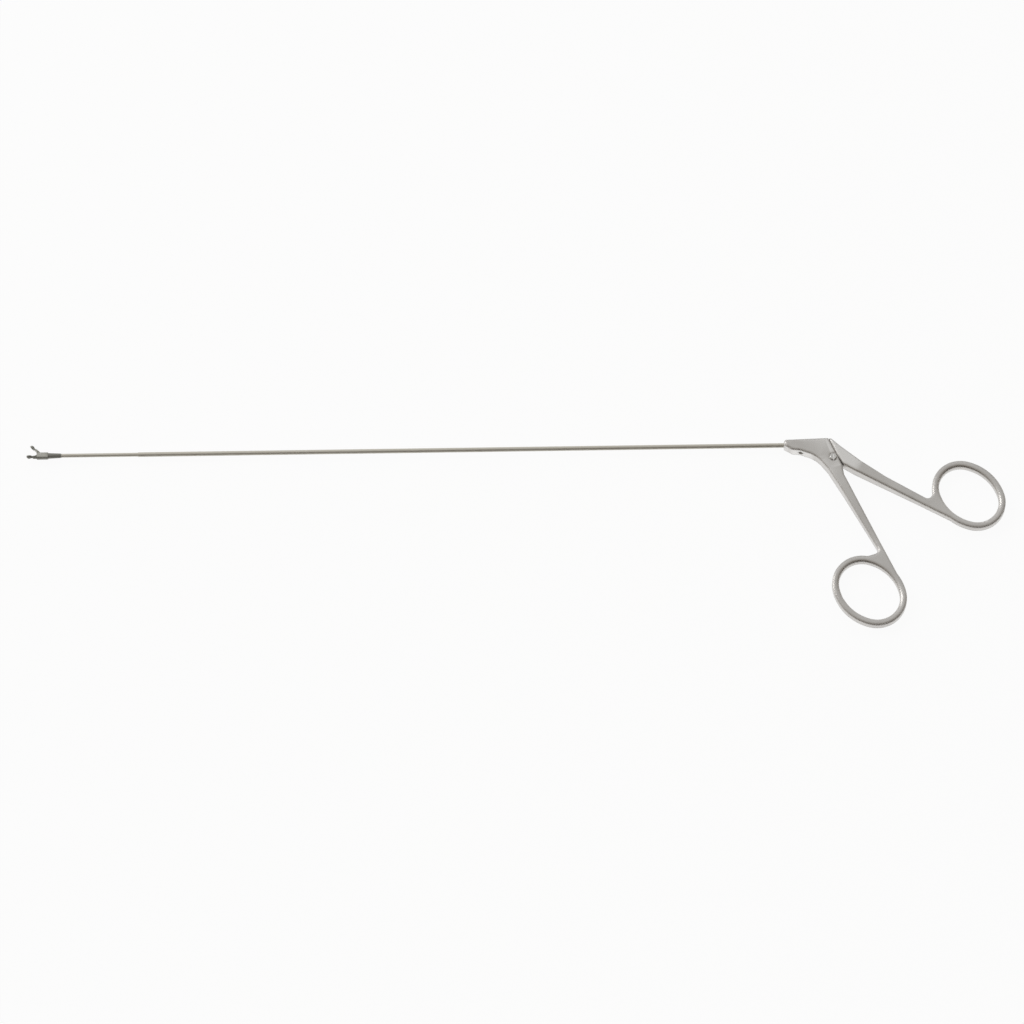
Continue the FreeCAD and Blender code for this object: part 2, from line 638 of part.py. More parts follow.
def add_tongue(body):
    """The thin part round the pivot, with the knuckle's slit and the slot for its pin."""
    pin_x = "knuckle_offset"
    outline = new_sketch(body, "tongue_outline")
    draw_outline(outline, [
        (f"-{pin_x} - 1.8", "pivot_drop + 1.15"),
        (f"-{pin_x} - 1.8", "pivot_drop - 1.4"),
        ("-tongue_round", "-tongue_round * 0.2"),
        ("-tongue_round * 0.55", "-tongue_round * 0.85"),
        ("tongue_round * 0.4", "-tongue_round"),
        ("seam_reach + 2.2", "-tongue_round * 0.8"),
        ("seam_reach + 0.9", "pivot_drop * 0.6"),
        ("seam_reach * 0.3", "pivot_drop"),
        ("-seam_reach * 0.7", "pivot_drop + 1.15"),
    ])
    pad(body, outline, "tongue", TONGUE)
    corners = [(f"-{pin_x} - 1.8", "pivot_drop + 1.15")]
    round_corners(body, body.Tip, "tongue_corner", corners, "nose_round")
    slit = new_sketch(body, "slit_outline")
    right = f"-{pin_x} * 1.16 + knuckle_height / 2 + 0.3"
    floor = "pivot_drop * 0.952 - knuckle_height / 2 - 0.5"
    draw_outline(slit, [
        (f"-{pin_x} - 3", "pivot_drop + 3"),
        (f"-{pin_x} - 3", floor),
        (right, floor),
        (right, "pivot_drop + 3"),
    ])
    pocket(body, slit, "slit", "knuckle_blade + 2 * tongue_gap")
    pin_slot = new_sketch(
        body, "pin_slot_outline", axis=(0, 0, 1), turn="handle_travel / 2"
    )
    low = f"pivot_drop / cos(handle_travel / 2) - {pin_x} * tan(handle_travel / 2)"
    high = f"pivot_drop / cos(handle_travel / 2) + {pin_x} * tan(handle_travel / 2)"
    draw_capsule(
        pin_slot, (f"-{pin_x}", f"{low} - slot_run"), (f"-{pin_x}", f"{high} + slot_run"),
        "knuckle_pin + 2 * running_clearance",
    )
    pocket(body, pin_slot, "pin_slot", "2 * cheek_slot")
    hole = new_sketch(body, "pivot_hole_circle")
    draw_circle(hole, "0", "0", "pivot_shank + 2 * running_clearance")
    pocket(body, hole, "pivot_hole", "2 * cheek_slot")


def make_handle_pivot_screw():
    """Domed, slotted screw across the cheeks, flush with the far cheek."""
    body = new_body("handle_pivot_screw")
    place_body(body, "pivot_setback", "-pivot_drop")
    face = "handle_thickness / 2"
    turn_profile(body, "turned", [
        ("0", f"-{face}"),
        ("pivot_shank / 2", f"-{face}"),
        ("pivot_shank / 2", f"{face} - pivot_head_sink"),
        ("pivot_head / 2", f"{face} - pivot_head_sink"),
        ("pivot_head / 2", f"{face} + pivot_head_rise"),
        ("0", f"{face} + pivot_head_rise"),
    ], "V_Axis", "XZ_Plane")
    top = number(f"{face} + pivot_head_rise")

    def is_top_edge(shape, edge):
        return len(edge.Vertexes) == 1 and edge.CenterOfMass.z > top - TOUCHING

    turned = body.Tip
    dome = body.newObject("PartDesign::Fillet", "dome")
    dome.Base = (turned, edge_names(turned, is_top_edge))
    bind(dome, "Radius", "pivot_head_rise * 1.3")
    settle(dome)
    cut_driver_slot(body, "XY_Plane", f"{face} + pivot_head_rise", "pivot_head")
    return body


def cut_driver_slot(body, plane, level, width):
    """A straight slot across a screw's end."""
    slot = new_sketch(body, "driver_slot_outline", plane, ("0", "0", level))
    draw_outline(slot, [
        ("-driver_slot / 2", f"-{width}"),
        ("driver_slot / 2", f"-{width}"),
        ("driver_slot / 2", width),
        ("-driver_slot / 2", width),
    ])
    pocket(body, slot, "driver_slot", "driver_slot_depth", middle=False)


def make_shaft_set_screw():
    """Short slotted screw under the nose that holds the shaft."""
    body = new_body("shaft_set_screw")
    place_body(body, "set_screw_setback")
    tip = "-main_tube_outer / 2"
    turn_profile(body, "turned", [
        ("0", tip),
        ("set_screw / 2 - 0.25", tip),
        ("set_screw / 2", f"{tip} - 0.25"),
        ("set_screw / 2", f"{tip} - set_screw_length"),
        ("0", f"{tip} - set_screw_length"),
    ], "V_Axis")
    slot = new_sketch(
        body, "driver_slot_outline", "XZ_Plane", ("0", "0", "main_tube_outer / 2 + set_screw_length")
    )
    draw_outline(slot, [
        ("-set_screw", "-driver_slot / 2"),
        ("set_screw", "-driver_slot / 2"),
        ("set_screw", "driver_slot / 2"),
        ("-set_screw", "driver_slot / 2"),
    ])
    pocket(body, slot, "driver_slot", "driver_slot_depth", middle=False)
    return body


def make_tube(name, start, stop, bore, outer, bevel=None):
    """A round tube along the shaft's axis, with a bevel at its front end if it has one."""
    body = new_body(name)
    corners = [(start, f"({bore}) / 2"), (stop, f"({bore}) / 2"), (stop, f"({outer}) / 2")]
    if bevel:
        corners += [(f"{start} + {bevel}", f"({outer}) / 2"), (start, f"({outer}) / 2 - {bevel}")]
    else:
        corners += [(start, f"({outer}) / 2")]
    turn_profile(body, "turned", corners)
    return body


def make_jaw_head():
    """Taper, slotted block and fixed lower jaw, machined from one piece."""
    body = new_body("jaw_head")
    turn_profile(body, "taper", [
        (HEAD_REAR, "0"),
        (HEAD_REAR, "head_cone_rear / 2 - head_cone_end * 0.25"),
        (f"{HEAD_REAR} - head_cone_end", "head_cone_rear / 2"),
        (HEAD_MIDDLE, "head_cone_front / 2"),
        (HEAD_MIDDLE, "0"),
    ])
    section = new_sketch(body, "block_outline", "YZ_Plane", ("0", "0", HEAD_FRONT))
    draw_outline(section, [
        ("-head_height / 2", "-head_depth / 2"),
        ("head_height / 2", "-head_depth / 2"),
        ("head_height / 2", "head_depth / 2"),
        ("-head_height / 2", "head_depth / 2"),
    ])
    block = pad(body, section, "block", "head_block", middle=False)
    front = number(HEAD_FRONT)
    rear = number(HEAD_MIDDLE)

    def along_block(shape, edge):
        box = edge.BoundBox
        return abs(box.XMin - front) < TOUCHING and abs(box.XMax - rear) < TOUCHING

    bevel = body.newObject("PartDesign::Chamfer", "block_edges")
    bevel.Base = (block, edge_names(block, along_block))
    bind(bevel, "Size", "head_edge")
    settle(bevel)
    add_jaw(body, "-working_length", HEAD_FRONT, "0", "0", -1)
    slope = new_sketch(body, "slope_outline")
    draw_outline(slope, [
        (HEAD_FRONT, "cup_relief * 0.8"),
        (f"{HEAD_FRONT} - head_slope", "-jaw_neck_radius * 0.7"),
        (f"{HEAD_FRONT} - head_slope", "-jaw_neck_radius * 0.95"),
        (HEAD_FRONT, "head_edge - head_height / 2"),
    ])
    pad(body, slope, "slope", "head_depth * 0.75")
    slot = new_sketch(body, "slot_outline")
    slot_front = f"{HEAD_FRONT} - jaw_radius * 0.35"
    draw_outline(slot, [
        (slot_front, "head_floor - head_height / 2"),
        (f"{HEAD_MIDDLE} - head_slot_wall", "head_floor - head_height / 2"),
        (f"{HEAD_MIDDLE} - head_slot_wall", "head_height"),
        (slot_front, "head_height"),
    ])
    pocket(body, slot, "slot", "head_slot")
    tube_end = f"({HEAD_REAR} - thin_tube_socket)"
    for name, start, width in (
        ("rod_bore", f"{HEAD_MIDDLE} - head_slot_wall - 0.1", "thin_tube_bore"),
        ("tube_socket", tube_end, "main_tube_bore"),
    ):
        circle = new_sketch(body, name + "_circle", "YZ_Plane", ("0", "0", start))
        draw_circle(circle, "0", "0", width)
        pocket(body, circle, name, f"{HEAD_REAR} - ({start})", middle=False, reverse=True)
    hole = new_sketch(body, "pin_hole_circle")
    draw_circle(hole, JAW_PIVOT_X, "jaw_pivot_rise", "jaw_pin")
    pocket(body, hole, "pin_hole", "2 * head_depth")
    return body


def add_jaw(body, tip, root, root_inset, axis_y, side):
    """Half a round jaw with a cup in its end; side is 1 above the parting, -1 below.

    tip and root are the ends along x, and axis_y the height of the jaws' own axis."""
    cup_x = f"({tip} + cup_radius)"
    rear = f"({root} - {root_inset})"
    near = f"{axis_y} + {side} * parting_gap / 2"
    profile = new_sketch(body, "jaw_profile", "XY_Plane", ("0", axis_y, "0"))
    draw_outline(profile, [
        (cup_x, "0"),
        (rear, "0"),
        (rear, "jaw_radius"),
        (f"{cup_x} + cup_radius * 1.9", "jaw_radius"),
        (f"{cup_x} + cup_radius * 1.3", "jaw_neck_radius"),
        (cup_x, "jaw_neck_radius"),
    ])
    jaw = body.newObject("PartDesign::Revolution", "jaw")
    jaw.Profile = profile
    jaw.ReferenceAxis = (profile, ["H_Axis"])
    jaw.Angle = 360
    settle(jaw)
    ball = body.newObject("PartDesign::AdditiveSphere", "cup_ball")
    bind(ball, "Radius", "cup_radius")
    bind(ball, "Placement.Base.x", cup_x)
    bind(ball, "Placement.Base.y", axis_y)
    settle(ball)
    far = f"{axis_y} - {side} * 3 * cup_radius"
    for name, start, level in (
        ("parting", f"{tip} - cup_radius", near),
        ("relief", f"{cup_x} + cup_radius * 0.95", f"{axis_y} + {side} * cup_relief"),
    ):
        half = new_sketch(body, name + "_outline")
        draw_outline(half, [(start, far), (rear, far), (rear, level), (start, level)])
        pocket(body, half, name, "4 * head_depth")
    hollow = body.newObject("PartDesign::SubtractiveEllipsoid", "cup_hollow")
    bind(hollow, "Radius1", "cup_hollow")
    bind(hollow, "Radius2", "cup_hollow * 1.12")
    bind(hollow, "Radius3", "cup_hollow")
    bind(hollow, "Placement.Base.x", f"{cup_x} + cup_radius * 0.08")
    bind(hollow, "Placement.Base.y", axis_y)
    settle(hollow)


def make_jaw_pivot_pin():
    body = new_body("jaw_pivot_pin")
    place_body(body, JAW_PIVOT_X, "jaw_pivot_rise")
    circle = new_sketch(body, "circle")
    draw_circle(circle, "0", "0", "jaw_pin")
    pad(body, circle, "pin", "head_depth")
    return body


def make_moving_jaw():
    """Drawn closed about its pivot, then turned open by the body's placement."""
    body = new_body("moving_jaw")
    place_body(body, JAW_PIVOT_X, "jaw_pivot_rise", "-jaw_opening")
    axis_y = "(-jaw_pivot_rise)"
    half_slot = "(head_slot / 2 - side_gap)"
    root = "(-jaw_pivot_setback - jaw_front_gap)"
    arm = new_sketch(body, "arm_outline")
    draw_outline(arm, [
        (f"{root} - cup_radius * 0.2", f"{axis_y} + cup_relief"),
        ("side_gap - jaw_pivot_setback", f"{axis_y} + cup_relief"),
        ("side_gap - jaw_pivot_setback", f"{axis_y} - jaw_root_depth"),
        ("0", f"{axis_y} + cup_relief"),
        ("jaw_hub * 0.3", "jaw_hub * 0.4"),
        ("-jaw_hub * 0.2", f"{axis_y} + jaw_radius"),
        (f"{root} - cup_radius * 0.2", f"{axis_y} + jaw_radius * 0.9"),
    ])
    pad(body, arm, "arm", f"2 * {half_slot}")
    add_jaw(body, "-working_length - " + JAW_PIVOT_X, root, "0", axis_y, 1)
    low = "leaf_gap / 2"
    hub = new_sketch(body, "hub_circle", "XY_Plane", ("0", "0", low))
    draw_circle(hub, "0", "0", "jaw_hub")
    pad(body, hub, "hub", LEAF, middle=False)
    boss = new_sketch(body, "boss_circle", "XY_Plane", ("0", "0", f"-{half_slot}"))
    draw_circle(boss, "0", "0", "jaw_boss")
    pad(body, boss, "boss", half_slot, middle=False)
    far_end = f"({CAM_ARM} / cos(jaw_opening / 2))"
    tail = new_sketch(
        body, "tail_outline", "XY_Plane", ("0", "0", low), (0, 0, 1), "jaw_opening / 2"
    )
    draw_capsule(tail, ("0", "0"), ("0", f"-{far_end}"), "jaw_tail")
    pad(body, tail, "tail", LEAF, middle=False)
    slot = new_sketch(body, "tail_slot_outline", axis=(0, 0, 1), turn="jaw_opening / 2")
    draw_capsule(
        slot, ("0", f"-{CAM_ARM} + cam_slot_run"), ("0", f"-{far_end} - cam_slot_run"),
        "cam_pin + 2 * running_clearance",
    )
    pocket(body, slot, "tail_slot", "4 * head_depth")
    hole = new_sketch(body, "pin_hole_circle")
    draw_circle(hole, "0", "0", "jaw_pin + 2 * running_clearance")
    pocket(body, hole, "pin_hole", "2 * head_depth")
    return body


def make_pull_rod():
    """The thick rod inside the main tube, bored at its front end for the thin rod."""
    body = new_body("pull_rod")
    front = f"({TUBE_STEP} + thin_tube_overlap + rod_step_gap)"
    rear = f"({KNUCKLE_PIN_X} - knuckle_reach + knuckle_barrel_length - 0.3)"
    turn_profile(body, "turned", [
        (front, THIN_ROD),
        (f"{front} + rod_joint", THIN_ROD),
        (f"{front} + rod_joint", "0"),
        (rear, "0"),
        (rear, PULL_ROD),
        (front, PULL_ROD),
    ])
    return body


def make_thin_rod():
    body = new_body("thin_rod")
    rear = f"({TUBE_STEP} + thin_tube_overlap + rod_step_gap + rod_joint)"
    front = f"({CAM_PIN_X} + eye_reach + eye_shank - 0.2)"
    turn_profile(body, "turned", [(front, "0"), (rear, "0"), (rear, THIN_ROD), (front, THIN_ROD)])
    return body


def make_rod_eye():
    """A shank on the thin rod and an offset flat eye that carries the cam pin."""
    body = new_body("rod_eye")
    place_body(body, CAM_PIN_X)
    rear = "(eye_reach + eye_shank - 0.2)"
    front = "(eye_reach - 0.2)"
    turn_profile(body, "shank", [(front, "0"), (rear, "0"), (rear, THIN_ROD), (front, THIN_ROD)])
    bottom = "(side_gap - head_slot / 2)"
    blade = new_sketch(body, "blade_outline", "XY_Plane", ("0", "0", bottom))
    draw_capsule(blade, ("0", CAM_PIN_Y), ("eye_reach", CAM_PIN_Y), "eye_width")
    pad(body, blade, "blade", LEAF, middle=False)
    hole = new_sketch(body, "pin_hole_circle")
    draw_circle(hole, "0", CAM_PIN_Y, "cam_pin")
    pocket(body, hole, "pin_hole", "2 * head_depth")
    return body


def make_cam_pin():
    body = new_body("cam_pin")
    place_body(body, CAM_PIN_X, CAM_PIN_Y)
    circle = new_sketch(body, "circle")
    draw_circle(circle, "0", "0", "cam_pin")
    pad(body, circle, "pin", "head_slot - 2 * side_gap")
    return body


def make_rod_knuckle():
    """Barrel on the rod's end and a flat blade that the knuckle pin goes through."""
    body = new_body("rod_knuckle")
    place_body(body, KNUCKLE_PIN_X)
    front = "(-knuckle_reach)"
    rear = "(-knuckle_reach + knuckle_barrel_length)"
    turn_profile(body, "barrel", [
        (front, PULL_ROD),
        (f"{rear} - 0.3", PULL_ROD),
        (f"{rear} - 0.3", "0"),
        (rear, "0"),
        (rear, "knuckle_barrel / 2"),
        (front, "knuckle_barrel / 2"),
    ])
    blade = new_sketch(body, "blade_outline")
    half = "knuckle_height / 2"
    draw_outline(blade, [
        (f"{rear} - 0.3", f"-{half} * 0.95"),
        ("0", f"-{half} * 0.95"),
        ("0", f"{half} * 0.95"),
        (f"{rear} - 0.3", f"{half} * 0.95"),
    ])
    pad(body, blade, "blade", "knuckle_blade")
    eye = new_sketch(body, "eye_circle")
    draw_circle(eye, "0", "0", "knuckle_height")
    pad(body, eye, "eye", "knuckle_blade")
    hole = new_sketch(body, "pin_hole_circle")
    draw_circle(hole, "0", "0", "knuckle_pin")
    pocket(body, hole, "pin_hole", "2 * knuckle_blade")
    return body


def make_knuckle_pin():
    body = new_body("knuckle_pin")
    place_body(body, KNUCKLE_PIN_X)
    circle = new_sketch(body, "circle")
    draw_circle(circle, "0", "0", "knuckle_pin")
    pad(body, circle, "pin", TONGUE)
    return body


def make_rod_lock_nut():
    """Six-sided nut that locks the rod in the knuckle."""
    body = new_body("rod_lock_nut")
    place_body(body, f"{KNUCKLE_PIN_X} - knuckle_reach - lock_nut_length")
    outline = new_sketch(body, "flats", "YZ_Plane")
    draw_outline(outline, [
        (f"lock_nut_width / 2 / cos(30) * cos({60 * i})", f"lock_nut_width / 2 / cos(30) * sin({60 * i})")
        for i in range(6)
    ])
    pad(body, outline, "nut", "lock_nut_length", middle=False)
    hole = new_sketch(body, "rod_hole_circle", "YZ_Plane")
    draw_circle(hole, "0", "0", f"2 * {PULL_ROD}")
    pocket(body, hole, "rod_hole", "4 * lock_nut_length")
    return body


def make_all():
    make_front_handle()
    make_rear_handle()
    make_handle_pivot_screw()
    make_shaft_set_screw()
    make_tube("main_tube", TUBE_STEP, "tube_socket", "main_tube_bore", "main_tube_outer",
              "tube_end_bevel")
    make_tube("thin_tube", f"{HEAD_REAR} - thin_tube_socket", f"{TUBE_STEP} + thin_tube_overlap",
              "thin_tube_bore", "main_tube_bore")
    make_tube("rod_guide_bush", "tube_socket", "tube_socket + bush_length",
              f"2 * {PULL_ROD} + 2 * running_clearance", "main_tube_outer")
    make_jaw_head()
    make_jaw_pivot_pin()
    make_moving_jaw()
    make_pull_rod()
    make_thin_rod()
    make_rod_eye()
    make_cam_pin()
    make_rod_knuckle()
    make_knuckle_pin()
    make_rod_lock_nut()


def check_and_write():
    """Stops on any failed object or poor solid, then writes each piece to its own file."""
    doc.recompute()
    for item in doc.Objects:
        if "Invalid" in item.State or "Error" in item.State:
            raise RuntimeError(f"{item.Label} failed: {item.State}")
    pieces = [item for item in doc.Objects if item.TypeId == "PartDesign::Body"]
    for piece in pieces:
        shape = piece.Shape
        if shape.isNull() or not shape.isValid() or len(shape.Solids) != 1:
            raise RuntimeError(f"{piece.Label} has no sound solid")
    os.makedirs("parts", exist_ok=True)
    for piece in pieces:
        piece.Shape.exportStep(f"parts/{piece.Label}.step")
        box = piece.Shape.BoundBox
        print(f"{piece.Label}: {piece.Shape.Volume:.3f} mm3, "
              f"x {box.XMin:.2f} to {box.XMax:.2f}, y {box.YMin:.2f} to {box.YMax:.2f}, "
              f"z {box.ZMin:.2f} to {box.ZMax:.2f}")


fill_sheet()
make_all()
check_and_write()
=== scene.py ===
import json
import math

import bpy
from mathutils import Matrix, Vector


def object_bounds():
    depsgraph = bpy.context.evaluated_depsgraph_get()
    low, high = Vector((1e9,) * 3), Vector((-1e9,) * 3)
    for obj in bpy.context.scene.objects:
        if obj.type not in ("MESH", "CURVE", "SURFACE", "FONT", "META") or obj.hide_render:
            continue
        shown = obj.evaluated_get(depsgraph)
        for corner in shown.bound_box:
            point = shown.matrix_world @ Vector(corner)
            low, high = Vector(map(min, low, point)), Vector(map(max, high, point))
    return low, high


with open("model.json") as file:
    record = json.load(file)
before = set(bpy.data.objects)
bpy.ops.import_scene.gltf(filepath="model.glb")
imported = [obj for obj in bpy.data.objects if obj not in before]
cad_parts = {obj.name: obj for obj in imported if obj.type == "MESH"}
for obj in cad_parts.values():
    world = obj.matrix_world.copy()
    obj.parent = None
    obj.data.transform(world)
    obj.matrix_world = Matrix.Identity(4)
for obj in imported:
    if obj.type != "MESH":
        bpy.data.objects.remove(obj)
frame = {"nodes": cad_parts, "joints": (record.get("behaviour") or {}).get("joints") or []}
bpy.context.view_layer.update()
CAD_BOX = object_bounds()

# The photograph: where the handle's pivot is in it, and how it was looked at.
IMAGE_PIXELS = 1024
PIVOT_PIXEL_X = 833.0
PIVOT_PIXEL_Y = 459.2
METRES_PER_PIXEL = 0.0003947
CAMERA_TILT = math.radians(22.0)
CAMERA_ROLL = math.radians(0.82)
CAMERA_DISTANCE = 2.5
SENSOR_WIDTH = 36.0
NEAREST_SEEN = 0.01
FARTHEST_SEEN = 100.0

PIVOT = Vector(frame["joints"][0]["pos_m"])

BLACK = (0.0, 0.0, 0.0)
WHITE = (1.0, 1.0, 1.0)

# How the grain is stretched: the same every way, or drawn out along the shaft.
EVEN = (1.0, 1.0, 1.0)
ALONG_SHAFT = (0.03, 1.0, 1.0)

# The steels. The colours are linear, and the grain's depth and the edges are in metres.
# The last colour of each steel is a painted highlight, laid on its convex sharp rims.
SATIN_HANDLE = {
    "dull": (0.565, 0.545, 0.522),
    "clean": (0.63, 0.612, 0.588),
    "rim_highlight": (0.80, 0.785, 0.765),
    "stretch": EVEN,
    "grain": 2600.0,
    "roughness": (0.24, 0.32),
    "depth": 0.000003,
    "edge": 0.0018,
}
DRAWN_SHAFT = {
    "dull": (0.505, 0.478, 0.42),
    "clean": (0.58, 0.552, 0.495),
    "rim_highlight": (0.655, 0.63, 0.565),
    "stretch": ALONG_SHAFT,
    "grain": 5200.0,
    "roughness": (0.55, 0.65),
    "depth": 0.000004,
    "edge": 0.0001,
}
DULL_JAW = {
    "dull": (0.28, 0.28, 0.25),
    "clean": (0.35, 0.35, 0.32),
    "rim_highlight": (0.60, 0.60, 0.56),
    "stretch": EVEN,
    "grain": 7000.0,
    "roughness": (0.68, 0.78),
    "depth": 0.000003,
    "edge": 0.0002,
}
POLISHED = {
    "dull": (0.52, 0.51, 0.49),
    "clean": (0.64, 0.63, 0.61),
    "rim_highlight": (0.75, 0.74, 0.72),
    "stretch": EVEN,
    "grain": 6000.0,
    "roughness": (0.10, 0.18),
    "depth": 0.000002,
    "edge": 0.0001,
}

# The noise: its scale over the whole piece, and which part of its range is used.
CLOUD_SCALE = 60.0
CLOUD_DETAIL = 5.0
CLOUD_ROUGHNESS = 0.55
CLOUD_LOW, CLOUD_HIGH = 0.36, 0.64
GRAIN_DETAIL = 3.0
GRAIN_ROUGHNESS = 0.6
GRAIN_LOW, GRAIN_HIGH = 0.3, 0.7
# The range of pointiness over which the painted rim highlight comes in.
RIM_LOW, RIM_HIGH = 0.52, 0.6
EDGE_SAMPLES = 6

# The floor: half its width, and how much of what shows of it is plain white.
FLOOR_HALF = 20.0
FLOOR_PAPER = (0.93, 0.93, 0.93)
FLOOR_GLOW = 0.94

# The studio: the way to its bright side, and its colour from the dark side to the bright.
BRIGHT_SIDE = Vector((-0.35, 0.85, 0.4))
STUDIO_COLOURS = (
    (0.0, (0.026, 0.018, 0.013)),
    (0.25, (0.040, 0.030, 0.022)),
    (0.46, (0.225, 0.198, 0.168)),
    (0.63, (0.495, 0.478, 0.452)),
    (0.84, (0.68, 0.68, 0.675)),
    (1.0, (0.82, 0.82, 0.82)),
)

KEY_LIGHT_PLACE = (-1.2, 0.6, 1.1)
KEY_LIGHT_SIDE = 0.7
KEY_LIGHT_WATTS = 5.0


def opaque(colour):
    return (*colour, 1.0)


class Shading:
    """A node tree, with short ways to add and join its nodes."""

    def __init__(self, owner):
        owner.use_nodes = True
        self.tree = owner.node_tree
        self.tree.nodes.clear()

    def add(self, kind, **values):
        node = self.tree.nodes.new(kind)
        for key, value in values.items():
            setattr(node, key, value)
        return node

    def join(self, source, target):
        self.tree.links.new(source, target)

    def noise(self, stretch, scale, detail, roughness):
        """Noise in the object's own space, stretched along its axes."""
        place = self.add("ShaderNodeTexCoord")
        mapping = self.add("ShaderNodeMapping")
        mapping.inputs["Scale"].default_value = stretch
        noise = self.add("ShaderNodeTexNoise")
        noise.inputs["Scale"].default_value = scale
        noise.inputs["Detail"].default_value = detail
        noise.inputs["Roughness"].default_value = roughness
        self.join(place.outputs["Object"], mapping.inputs["Vector"])
        self.join(mapping.outputs["Vector"], noise.inputs["Vector"])
        return noise.outputs["Fac"]

    def ramp(self, source, stops):
        """Turns a value into a colour, from stops of position and colour."""
        ramp = self.add("ShaderNodeValToRGB")
        elements = ramp.color_ramp.elements
        elements[0].position, elements[0].color = stops[0][0], opaque(stops[0][1])
        elements[1].position, elements[1].color = stops[-1][0], opaque(stops[-1][1])
        for position, colour in stops[1:-1]:
            elements.new(position).color = opaque(colour)
        self.join(source, ramp.inputs["Fac"])
        return ramp

    def spread(self, source, from_low, from_high, low, high):
        """Maps one range of values to another."""
        spread = self.add("ShaderNodeMapRange")
        spread.inputs["From Min"].default_value = from_low
        spread.inputs["From Max"].default_value = from_high
        spread.inputs["To Min"].default_value = low
        spread.inputs["To Max"].default_value = high
        self.join(source, spread.inputs["Value"])
        return spread.outputs["Result"]

    def mix_colour(self, share, one, two):
        mix = self.add("ShaderNodeMix", data_type="RGBA")
        self.join(share, mix.inputs["Factor"])
        self.join(one, mix.inputs[6])
        mix.inputs[7].default_value = opaque(two)
        return mix.outputs[2]

    def painted_rim_highlight_mask(self):
        """High where the surface is convex and sharp, where the painted rim highlight goes."""
        shape = self.add("ShaderNodeNewGeometry")
        stops = ((RIM_LOW, BLACK), (RIM_HIGH, WHITE))
        return self.ramp(shape.outputs["Pointiness"], stops).outputs["Color"]

    def soft_edges(self, radius):
        """Shades the edges as if a polishing wheel had rounded them."""
        bevel = self.add("ShaderNodeBevel", samples=EDGE_SAMPLES)
        bevel.inputs["Radius"].default_value = radius
        return bevel.outputs["Normal"]

    def bump(self, source, depth, below):
        bump = self.add("ShaderNodeBump")
        bump.inputs["Strength"].default_value = 1.0
        bump.inputs["Distance"].default_value = depth
        self.join(source, bump.inputs["Height"])
        self.join(below, bump.inputs["Normal"])
        return bump.outputs["Normal"]

    def show(self, output_kind, source):
        output = self.add(output_kind)
        self.join(source, output.inputs["Surface"])


def steel_material(name, steel):
    """Steel with cloudy patches, a fine grain, soft edges, and a painted highlight on its convex
    rims.
    """
    material = bpy.data.materials.new(name)
    shading = Shading(material)
    clouds = shading.noise(EVEN, CLOUD_SCALE, CLOUD_DETAIL, CLOUD_ROUGHNESS)
    grain = shading.noise(steel["stretch"], steel["grain"], GRAIN_DETAIL, GRAIN_ROUGHNESS)
    stops = ((CLOUD_LOW, steel["dull"]), (CLOUD_HIGH, steel["clean"]))
    cloudy = shading.ramp(clouds, stops).outputs["Color"]
    # Painted highlight: convex sharp rims take a brighter colour, standing in for light caught
    # on the edges.
    colour = shading.mix_colour(shading.painted_rim_highlight_mask(), cloudy, steel["rim_highlight"])
    roughness = shading.spread(grain, GRAIN_LOW, GRAIN_HIGH, *steel["roughness"])
    normal = shading.bump(grain, steel["depth"], shading.soft_edges(steel["edge"]))
    shader = shading.add("ShaderNodeBsdfPrincipled")
    shader.inputs["Metallic"].default_value = 1.0
    shading.join(colour, shader.inputs["Base Color"])
    shading.join(roughness, shader.inputs["Roughness"])
    shading.join(normal, shader.inputs["Normal"])
    shading.show("ShaderNodeOutputMaterial", shader.outputs["BSDF"])
    return material


def dress(material, *names):
    for name in names:
        node = frame["nodes"][name]
        node.data.materials.clear()
        node.data.materials.append(material)


def dress_pieces():
    handle = steel_material("satin_handle_steel", SATIN_HANDLE)
    shaft = steel_material("shaft_steel", DRAWN_SHAFT)
    jaw = steel_material("jaw_steel", DULL_JAW)
    bright = steel_material("polished_steel", POLISHED)
    dress(handle, "front_handle", "rear_handle")
    dress(shaft, "main_tube", "thin_tube")
    dress(jaw, "jaw_head", "moving_jaw", "rod_eye")
    dress(bright, "handle_pivot_screw", "shaft_set_screw", "rod_guide_bush", "jaw_pivot_pin",
          "pull_rod", "thin_rod", "cam_pin", "rod_knuckle", "knuckle_pin", "rod_lock_nut")


def make_camera():
    """Looks at the handle's pivot as the photograph does, with the pivot at its pixel."""
    back = Vector((0.0, -math.sin(CAMERA_TILT), math.cos(CAMERA_TILT)))
    level = Vector((1.0, 0.0, 0.0))
    rise = Vector((0.0, math.cos(CAMERA_TILT), math.sin(CAMERA_TILT)))
    right = level * math.cos(CAMERA_ROLL) - rise * math.sin(CAMERA_ROLL)
    up = level * math.sin(CAMERA_ROLL) + rise * math.cos(CAMERA_ROLL)
    aside = (PIVOT_PIXEL_X - IMAGE_PIXELS / 2) * METRES_PER_PIXEL
    above = (IMAGE_PIXELS / 2 - PIVOT_PIXEL_Y) * METRES_PER_PIXEL
    data = bpy.data.cameras.new("camera")
    data.sensor_width = SENSOR_WIDTH
    data.lens = SENSOR_WIDTH * CAMERA_DISTANCE / (IMAGE_PIXELS * METRES_PER_PIXEL)
    data.clip_start = NEAREST_SEEN
    data.clip_end = FARTHEST_SEEN
    camera = bpy.data.objects.new("camera", data)
    bpy.context.scene.collection.objects.link(camera)
    camera.location = PIVOT - right * aside - up * above + back * CAMERA_DISTANCE
    camera.rotation_mode = "QUATERNION"
    camera.rotation_quaternion = Matrix((right, up, back)).transposed().to_quaternion()
    bpy.context.scene.camera = camera


def seen_white(shading):
    """1 for rays that show the background itself: from the camera, a reflection or glass."""
    path = shading.add("ShaderNodeLightPath")
    total = path.outputs["Is Camera Ray"]
    for ray in ("Is Glossy Ray", "Is Transmission Ray"):
        larger = shading.add("ShaderNodeMath", operation="MAXIMUM")
        shading.join(total, larger.inputs[0])
        shading.join(path.outputs[ray], larger.inputs[1])
        total = larger.outputs[0]
    return total


